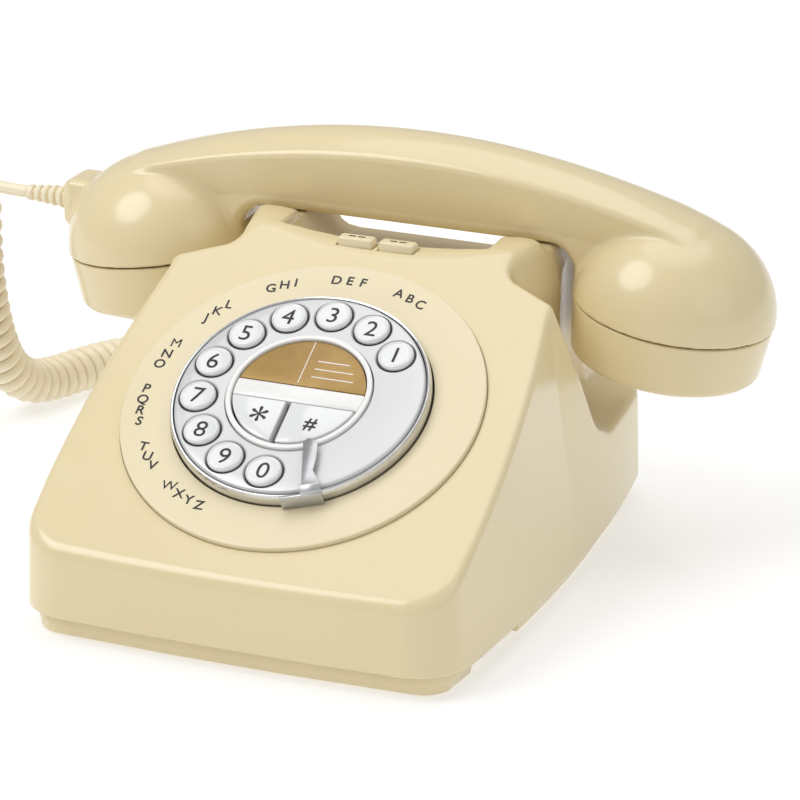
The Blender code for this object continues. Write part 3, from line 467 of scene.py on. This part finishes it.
def surface_net(field, low, high, step):
    """Points and quads of a field's surface: one point in each grid cell that the surface crosses."""
    low = np.array(low, float)
    counts = np.ceil((np.array(high) - low) / step).astype(int) + 1
    values = sample(field, low, step, counts)
    inside = values < 0
    strides = np.array([counts[1] * counts[2], counts[2], 1])
    cells, places, quads = [], [], []
    for axis in range(3):
        first = np.take(inside, range(counts[axis] - 1), axis)
        second = np.take(inside, range(1, counts[axis]), axis)
        at = np.argwhere(first != second)
        ahead = at.copy()
        ahead[:, axis] += 1
        start, end = values[tuple(at.T)], values[tuple(ahead.T)]
        place = at.astype(float)
        place[:, axis] += start / (start - end)
        across, other = strides[(axis + 1) % 3], strides[(axis + 2) % 3]
        here = at @ strides
        round_edge = np.stack([here, here - across, here - across - other, here - other], 1)
        cells.append(round_edge.ravel())
        places.append(np.repeat(place, 4, 0))
        leaving = start < 0
        quads.append(np.where(leaving[:, None], round_edge, round_edge[:, ::-1]))
    cells, places, quads = (np.concatenate(part) for part in (cells, places, quads))
    used, number = np.unique(cells, return_inverse=True)
    share = np.bincount(number)
    points = np.stack([np.bincount(number, places[:, i]) / share for i in range(3)], 1)
    return low + points * step, np.searchsorted(used, quads)


def gradient(field, points, reach=0.08):
    """The field's direction of growth at points, of unit length, and its steepness."""
    slope = np.empty_like(points)
    for axis in range(3):
        step = np.zeros(3)
        step[axis] = reach
        slope[:, axis] = field(*(points + step).T) - field(*(points - step).T)
    slope /= 2 * reach
    steep = np.linalg.norm(slope, axis=1, keepdims=True)
    return slope / np.maximum(steep, 1e-6), np.maximum(steep, 0.3)


def settle(field, points, most, rounds=3):
    """Moves points onto the field's surface, each by a limited step."""
    for _ in range(rounds):
        normal, steep = gradient(field, points)
        away = field(*points.T)[:, None] / steep
        points = points - normal * np.clip(away, -most, most)
    return points


def field_mesh(name, field, low, high, step, keep, openings=()):
    """A field's surface, thinned where it is flat, shaded by the field's own normals, with openings cut."""
    points, quads = surface_net(field, low, high, step)
    points = settle(field, points, 0.5 * step)
    mesh = bpy.data.meshes.new(name)
    mesh.from_pydata((points * MM).tolist(), [], quads.tolist())
    piece = bpy.data.objects.new(name, mesh)
    bpy.context.scene.collection.objects.link(piece)
    thinner = piece.modifiers.new("thinner", "DECIMATE")
    thinner.ratio = keep
    apply_modifiers(piece)
    mesh = piece.data
    bpy.data.objects.remove(piece)
    points = np.empty(len(mesh.vertices) * 3)
    mesh.vertices.foreach_get("co", points)
    points = settle(field, points.reshape(-1, 3) / MM, 0.25 * step)
    mesh.vertices.foreach_set("co", (points * MM).ravel())
    mesh.update()
    mesh = carved(mesh, openings)
    points = np.empty(len(mesh.vertices) * 3)
    mesh.vertices.foreach_get("co", points)
    shade_by_field(mesh, field, points.reshape(-1, 3) / MM)
    return mesh


def shade_by_field(mesh, field, points):
    """Smooth normals from the field, but a face's own normal where the two are far apart."""
    mesh.shade_smooth()
    smooth = gradient(field, points, 0.15)[0]
    corners = np.empty(len(mesh.loops), np.int64)
    mesh.loops.foreach_get("vertex_index", corners)
    faces = np.empty(len(mesh.polygons) * 3)
    mesh.polygons.foreach_get("normal", faces)
    sizes = np.empty(len(mesh.polygons), np.int64)
    mesh.polygons.foreach_get("loop_total", sizes)
    flat = np.repeat(faces.reshape(-1, 3), sizes, 0)
    normals = smooth[corners]
    sharp = (normals * flat).sum(1) < math.cos(math.radians(32))
    normals[sharp] = flat[sharp]
    mesh.normals_split_custom_set(normals.tolist())


# ---------------------------------------------------------------- cord

CORD_EXIT = (-116.5, 53.6, 83.0)
TAIL_SOCKET = (-45.0, 93.0, 14.0)
LEAD_ROUTE = [(-131.8, 53.6, 83.0), (-138, 53.6, 83.2), (-145, 53.6, 83.7), (-150.5, 53.6, 83.9),
              (-153.9, 53.6, 82.7), (-155.1, 53.6, 80.7), (-155.2, 53.6, 78.5)]
COIL_ROUTE = [(-149.5, 53.6, 77.8), (-149.5, 54, 60), (-149, 55.5, 45), (-148, 59, 30),
              (-146.5, 65, 18), (-144, 74, 10.5), (-140.5, 84, 8.0), (-134.5, 98, 7.8),
              (-126, 112, 7.8), (-112, 124, 7.8), (-94, 130, 7.8), (-77, 130, 7.8)]
TAIL_ROUTE = [(-76.4, 130, 7.8), (-67, 130, 6.6), (-56, 127.5, 7.4), (-48.5, 122.5, 11.5),
              (-45.2, 117, 13.7), (-45, 112.6, 14)]
WIRE_RADIUS, COIL_MEAN_RADIUS = 2.0, 5.45
PITCH, PITCH_AT_TOP = 4.12, 6.3  # the curls open where the cord hangs from them


def smooth_line(route, spacing):
    """Points about a spacing apart on a smooth curve through a route."""
    route = np.array(route, float)
    knots = np.concatenate([[2 * route[0] - route[1]], route, [2 * route[-1] - route[-2]]])
    fine = []
    for a, b, c, d in zip(knots, knots[1:], knots[2:], knots[3:]):
        t = np.linspace(0, 1, 40, endpoint=False)[:, None]
        fine.append(0.5 * (2 * b + (c - a) * t + (2 * a - 5 * b + 4 * c - d) * t ** 2
                           + (3 * b - a - 3 * c + d) * t ** 3))
    fine = np.concatenate([*fine, route[-1:]])
    run = np.concatenate([[0], np.cumsum(np.linalg.norm(np.diff(fine, axis=0), axis=1))])
    count = max(2, round(run[-1] / spacing)) + 1
    wanted = np.linspace(0, run[-1], count)
    return np.stack([np.interp(wanted, run, fine[:, i]) for i in range(3)], 1)


def carried_frames(line, start):
    """Two directions square to the line at each point, carried along it without twisting."""
    along = np.gradient(line, axis=0)
    along /= np.linalg.norm(along, axis=1, keepdims=True)
    first, side = [], np.array(start, float)
    for direction in along:
        side = side - direction * (side @ direction)
        side /= np.linalg.norm(side)
        first.append(side)
    first = np.array(first)
    return first, np.cross(along, first)


def wire_path():
    """The wire's own line: the straight lead, the curls, and the straight tail."""
    lead = smooth_line(LEAD_ROUTE, 1.0)
    middle = smooth_line(COIL_ROUTE, 0.1)
    tail = smooth_line(TAIL_ROUTE, 1.0)
    first, second = carried_frames(middle, (-1, 0, 0))
    run = 0.1 * np.arange(len(middle))
    pitch = PITCH + (PITCH_AT_TOP - PITCH) * np.exp(-run / 22.0)
    end = np.clip((run[-1] - run) / 9.0, 0, 1)
    turn = np.cumsum(0.1 * 2 * math.pi * np.maximum(end, 0.04) ** 1.5 / pitch)
    radius = COIL_MEAN_RADIUS * end * end * (3 - 2 * end)
    curls = middle + (first * np.cos(turn)[:, None] + second * np.sin(turn)[:, None]) * radius[:, None]
    path = np.concatenate([lead, curls[6:], tail[2:]])
    for joint in (len(lead), len(path) - len(tail)):
        near = path[joint - 12:joint + 12]
        for _ in range(20):
            near[1:-1] += 0.25 * (near[:-2] - 2 * near[1:-1] + near[2:])
    step = np.linalg.norm(np.diff(path, axis=0), axis=1)
    run = np.concatenate([[0], np.cumsum(step)])
    wanted = np.linspace(0, run[-1], round(run[-1] / 1.1) + 1)
    return np.stack([np.interp(wanted, run, path[:, i]) for i in range(3)], 1)


def tube_mesh(name, line, radius, sides=12):
    """A round tube with closed ends."""
    first, second = carried_frames(line, (0.1, 1.0, 0.2))
    turns = np.linspace(0, 2 * math.pi, sides, endpoint=False)
    rings = (line[:, None] + radius * (first[:, None] * np.cos(turns)[:, None]
                                       + second[:, None] * np.sin(turns)[:, None]))
    here = np.arange(len(line) - 1)[:, None] * sides + np.arange(sides)
    there = np.arange(len(line) - 1)[:, None] * sides + (np.arange(sides) + 1) % sides
    walls = np.stack([here, there, there + sides, here + sides], -1).reshape(-1, 4)
    last = (len(line) - 1) * sides
    ends = [tuple(range(sides))[::-1], tuple(range(last, last + sides))]
    mesh = bpy.data.meshes.new(name)
    mesh.from_pydata((rings.reshape(-1, 3) * MM).tolist(), [], walls.tolist() + ends)
    return mesh


def ribbed(length, thick, thin, ribs, neck=()):
    """A tapered strain relief's profile: rounded ribs with narrow slots between them."""
    profile = [*neck, (thick, 0.0)]
    pitch = length / (ribs + 0.6)
    for i in range(ribs):
        radius = thick + (thin - thick) * (i + 0.5) / ribs
        low = pitch * (i + 0.35)
        for t, sink in ((0.0, 0.0), (0.12, 0.25), (0.2, 1.0), (0.42, 1.0), (0.5, 0.25), (0.62, 0.0)):
            profile.append((radius - 0.95 * sink, low + pitch * t))
    return profile + [(thin + 0.1, length - 0.6), (thin - 0.2, length), (0, length)]


def make_cord():
    """The wire in one piece, and its two strain reliefs."""
    outwards = Matrix.Translation(CORD_EXIT) @ Matrix.Rotation(-math.pi / 2, 4, "Y")
    profile = ribbed(15.0, 3.7, 2.5, 5, [(0, 0)])
    upper = link("handset_strain_relief_ribs", turned("relief", profile, 48, place=outwards),
                 "handset", "cord_vinyl")
    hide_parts("handset_strain_relief")
    backwards = Matrix.Translation(TAIL_SOCKET) @ Matrix.Rotation(-math.pi / 2, 4, "X")
    neck = [(0, -8), (3.2, -8), (3.2, -0.1), (4.6, -0.1)]
    lower = link("base_strain_relief_ribs", turned("relief", ribbed(19.0, 4.6, 2.6, 5, neck), 48,
                                                   place=backwards), "base", "cord_vinyl")
    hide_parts("base_strain_relief")
    path = wire_path()
    wire = link("curly_cord", tube_mesh("curly_cord", path, WIRE_RADIUS), None, "cord_vinyl", angle=60.0)
    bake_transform(wire)
    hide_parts("cord_lead", "cord_coil", "cord_tail")


# ---------------------------------------------------------------- housing

def make_housing():
    """Case cover and handset from their fields, and the moulded parts below them."""
    cover = link("case_moulding", field_mesh("case", case_field, (-77, -98, 3), (77, 97, 99), 1.0, 0.3,
                                              case_openings()),
                 "base", "ivory_plastic", angle=None)
    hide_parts("case_cover")
    shell = link("handset_moulding",
                 field_mesh("handset", handset_field, (-121, 18, 66), (119, 89, 122), 0.9, 0.4),
                 "handset", "ivory_plastic", angle=None)
    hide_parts("handset_shell", "cord_boss")
    softened("base_plate", "base", "ivory_plastic", 0.45, 2)
    for name in ("function_key_left", "function_key_right"):
        softened(name, name, "ivory_trim", 0.35)
    softened("line_socket", "base", "dark_plastic", 0.25, 2)
    softened("ringer_switch", "ringer_switch", "dark_plastic", 0.3, 2)


def make_cap(name, side):
    """A cup-shaped cap with rounded rims and a ring of sound holes."""
    place = Matrix.Translation((side * CUP_X, CUP_Y, SEAM_Z)) @ Matrix.Rotation(side * CUP_TILT, 4, "Y")
    corners = [(0, -20.4, 0), (20.0, -20.4, 2.5), (27.6, -16.9, 1.5), (28.9, -15.6, 1.6),
               (30.5, -0.6, 0.7), (27.8, -0.6, 0.4), (26.2, -15.6, 2.0), (22.0, -18.0, 2.0), (0, -18.0, 0)]
    mesh = turned(name, soft_profile(corners), 144, place=place)
    holes = []
    for i in range(7):
        turn = math.radians(60 * i)
        x, y = (0.0, 0.0) if i == 6 else (9.0 * math.cos(turn), 9.0 * math.sin(turn))
        profile = [(0, -23), (1.7, -23), (1.7, -20.3), (1.3, -19.9), (1.3, -16), (0, -16)]
        holes.append(turned("hole", profile, 24, place=place @ Matrix.Translation((x, y, 0))))
    piece = link(name + "_moulding", carved(mesh, holes), "handset", "ivory_plastic")
    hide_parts(name)


# ---------------------------------------------------------------- dial

def on_dial(radius, angle):
    """The dial's frame moved to a place round its centre."""
    turn = math.radians(angle)
    return DIAL @ Matrix.Translation((radius * math.cos(turn), radius * math.sin(turn), 0))


def on_key(i):
    """The dial's frame moved to the middle of one round key."""
    return on_dial(KEY_CIRCLE, FIRST_KEY + KEY_STEP * i)


def make_dial():
    """The number ring, silver disc, rim and the ring round the card."""
    ring = [(38.8, -2.2, 0), (54.0, -2.2, 0), (54.0, 0.0, 0.7), (38.8, 0.0, 0.3)]
    piece = link("number_ring_moulding", turned("ring", soft_profile(ring, True), 192, True, DIAL),
                 "base", "ivory_trim")
    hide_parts("number_ring")
    disc = [(21.9, 1.0, 0), (37.0, 1.0, 0), (37.0, 4.1, 1.2), (33.5, 4.4, 1.0), (21.9, 4.4, 0.3)]
    disc_mesh = turned("disc", soft_profile(disc, True), 192, True, DIAL)
    well = [(0, -2), (5.75, -2), (5.75, 3.7), (6.0, 4.15), (6.5, 4.5), (6.5, 9), (0, 9)]
    wells = [turned("well", well, 48, place=on_key(i)) for i in range(len(DIGITS))]
    piece = link("dial_disc_plate", carved(disc_mesh, wells), "base", "silver_plastic", angle=30.0)
    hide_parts("dial_disc")
    rim = [(37.3, -1.0, 0), (38.5, -1.0, 0.2), (38.5, 2.4, 0.5), (38.0, 3.9, 0.5), (37.3, 3.6, 0.3)]
    piece = link("dial_rim_band", turned("rim", soft_profile(rim, True), 192, True, DIAL), "base", "chrome")
    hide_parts("dial_rim")
    collar = [(20.0, 1.0, 0), (21.6, 1.0, 0), (21.6, 5.3, 0.5), (20.0, 5.3, 0.5)]
    piece = link("centre_ring_band", turned("collar", soft_profile(collar, True), 128, True, DIAL),
                 "base", "white_plastic")
    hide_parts("centre_ring")
    softened("label_card", "base", "card", 0.2, 2)
    softened("label_strip", "base", "white_plastic", 0.2, 2)
    softened("finger_stop", "base", "chrome", 0.07, 1, "satin_chrome")


def make_keys():
    """Ten round keys with a dished top and a black ring of painted shade in the gap round each, and the two
    keys in the dial's centre.
    """
    profile = soft_profile([(0, -3.7, 0), (KEY_RADIUS, -3.7, 0.3), (KEY_RADIUS, 4.7, 0.3),
                            (4.85, 5.3, 0.3), (4.5, 5.4, 0.2), (4.2, 5.22, 0.3), (0, KEY_FACE, 0)])
    # painted shade: a thin black ring sits in each key's gap where only shade falls
    outline = [(5.42, 3.9), (5.66, 3.9), (5.66, 4.1), (5.42, 4.1)]
    gap_shade_rings = []
    for i, digit in enumerate(DIGITS):
        body = "key_" + digit
        cap = link(body + "_cap", turned(body, profile, 64, place=on_key(i)), body, "clear_key")
        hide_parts(body)
        gap_shade_rings.append(turned("outline", outline, 48, True, on_key(i)))
    link("key_outlines", joined("key_outlines", gap_shade_rings), "base", "dark_plastic", "print_black_and_gap_shade")
    softened("key_star", "key_star", "clear_key", 0.35)
    softened("key_hash", "key_hash", "clear_key", 0.35)


# ---------------------------------------------------------------- characters

def text_mesh(text, size, thickness=0.06, bold=0.0):
    """A character as a thin solid, its middle at the origin. Size is the height of a capital."""
    data = bpy.data.curves.new(text, "FONT")
    data.body = text
    data.size = size * MM / 0.73
    data.extrude = thickness * MM
    data.offset = bold * MM
    data.align_x = "CENTER"
    data.resolution_u = 6
    maker = bpy.data.objects.new("maker", data)
    bpy.context.scene.collection.objects.link(maker)
    bpy.context.view_layer.update()
    mesh = bpy.data.meshes.new_from_object(maker.evaluated_get(bpy.context.evaluated_depsgraph_get()))
    bpy.data.objects.remove(maker)
    mesh.transform(Matrix.Translation((0, -size * MM / 2, 0)))
    return mesh


def scaled(place):
    """A frame in millimetres as one in metres."""
    return Matrix.Translation(place.translation * MM) @ place.to_3x3().to_4x4()


def joined(name, meshes):
    """Several meshes as one."""
    shape = bmesh.new()
    for mesh in meshes:
        shape.from_mesh(mesh)
    whole = bpy.data.meshes.new(name)
    shape.to_mesh(whole)
    shape.free()
    return whole


def bar(x0, x1, y0, y1, height, place):
    """A thin printed bar on a surface."""
    outline = ((x0, y0), (x1, y0), (x1, y1), (x0, y1))
    points = [(x, y, z) for z in (height - PRINT, height + PRINT) for x, y in outline]
    faces = [(0, 3, 2, 1), (4, 5, 6, 7), (0, 1, 5, 4), (1, 2, 6, 5), (2, 3, 7, 6), (3, 0, 4, 7)]
    return make_mesh("bar", [place @ Vector(p) for p in points], faces)


def make_characters():
    """Digits on the keys, letters round them, and plain rules on the card."""
    for i, digit in enumerate(DIGITS):
        mesh = text_mesh(digit, 5.9)
        mesh.transform(scaled(on_key(i) @ Matrix.Translation((0, 0, KEY_FACE + 0.07))))
        link("digit_" + digit, mesh, "key_" + digit, "dark_plastic", "print_black_and_gap_shade", 20.0)
    for name, sign, x, y, size in (("star", "*", -8.4, -12.2, 9.0), ("hash", "#", 7.9, -11.1, 4.6)):
        mesh = text_mesh(sign, size, bold=0.08)
        mesh.transform(scaled(DIAL @ Matrix.Translation((x, y, DISC_TOP + 1.04))))
        link("sign_" + name, mesh, "key_" + name, "dark_plastic", "print_black_and_gap_shade", 20.0)
    letters = []
    for i, group in enumerate(LETTER_GROUPS):
        middle = FIRST_GROUP + GROUP_STEP * i
        reading = -1 if middle < 150 else 1
        widths = [LETTER_WIDTHS.get(letter, 5.0) for letter in group]
        for k, letter in enumerate(group):
            angle = middle + reading * (sum(widths[:k]) + (widths[k] - sum(widths)) / 2)
            tilt = 0.4 * (angle - 90) if abs(angle - 90) < 36 else 0.0
            place = on_dial(LETTER_CIRCLE - 0.06 * max(0.0, angle - 197), angle)
            mesh = text_mesh(letter, LETTER_SIZE, bold=0.0 if letter in "MW" else 0.06)
            mesh.transform(scaled(place @ Matrix.Rotation(math.radians(tilt), 4, "Z")
                                  @ Matrix.Translation((0, 0, 0.04))))
            letters.append(mesh)
    link("ring_letters", joined("ring_letters", letters), "base", "dark_plastic", "print_black_and_gap_shade", 20.0)
    height = DISC_TOP + 0.13
    rules = [bar(-1.75, -1.5, 3.4, 19.3, height, DIAL)]
    for y, right in ((12.2, 11.5), (9.2, 13.5), (6.2, 14.5)):
        rules.append(bar(1.6, right, y, y + 0.35, height, DIAL))
    link("card_rules", joined("card_rules", rules), "base", "white_plastic", "print_white", 20.0)
    height = FUNCTION_KEY_TOP + 0.03
    for name, side in (("left", -1), ("right", 1)):
        place = Matrix.Translation((side * FUNCTION_KEY_X, FUNCTION_KEY_Y, 0))
        marks = [bar(x, x + 2.2, -0.35, 0.35, height, place) for x in (-2.6, 0.4)]
        body = "function_key_" + name
        link("mark_" + name, joined("mark", marks), body, "dark_plastic", "print_black_and_gap_shade", 20.0)


# ---------------------------------------------------------------- surroundings

def make_surroundings():
    """A pale floor that glows a little, and soft lights from above, the left and the right."""
    shape = bmesh.new()
    bmesh.ops.create_grid(shape, x_segments=1, y_segments=1, size=6.0)
    mesh = bpy.data.meshes.new("floor")
    shape.to_mesh(mesh)
    shape.free()
    floor = bpy.data.objects.new("floor", mesh)
    bpy.context.scene.collection.objects.link(floor)
    surface = make_material("floor", (0.56, 0.56, 0.56), (0.55, 0.55, 0.55), 0.75, 3.0)
    shader = surface.node_tree.nodes["Principled BSDF"]
    shader.inputs["Emission Color"].default_value = (1.0, 1.0, 1.0, 1.0)
    shader.inputs["Emission Strength"].default_value = 0.52
    mesh.materials.append(surface)
    world = bpy.data.worlds.new("world")
    world.use_nodes = True
    world.node_tree.nodes["Background"].inputs["Color"].default_value = (1.0, 1.0, 1.0, 1.0)
    world.node_tree.nodes["Background"].inputs["Strength"].default_value = 0.42
    bpy.context.scene.world = world
    bpy.context.scene.view_settings.view_transform = "Standard"
    for name, place, size, power in (("key", (-0.9, -0.7, 1.5), 1.2, 15.0),
                                     ("fill", (1.5, -0.5, 0.9), 1.4, 2.5),
                                     ("top", (0.0, 0.5, 1.8), 1.8, 12.0)):
        data = bpy.data.lights.new(name, "AREA")
        data.shape, data.size, data.energy = "DISK", size, power
        light = bpy.data.objects.new(name, data)
        bpy.context.scene.collection.objects.link(light)
        light.location = place
        light.rotation_euler = (Vector((0, 0, 0.05)) - Vector(place)).to_track_quat("-Z", "Y").to_euler()


materials = make_materials()
make_camera()
make_cord()
make_housing()
make_cap("earpiece_cap", 1)
make_cap("mouthpiece_cap", -1)
make_dial()
make_keys()
make_characters()
make_surroundings()
for node in nodes.values():
    packed = node.material_slots[0]
    packed.material = materials[packed.material.name.split(".")[0]]
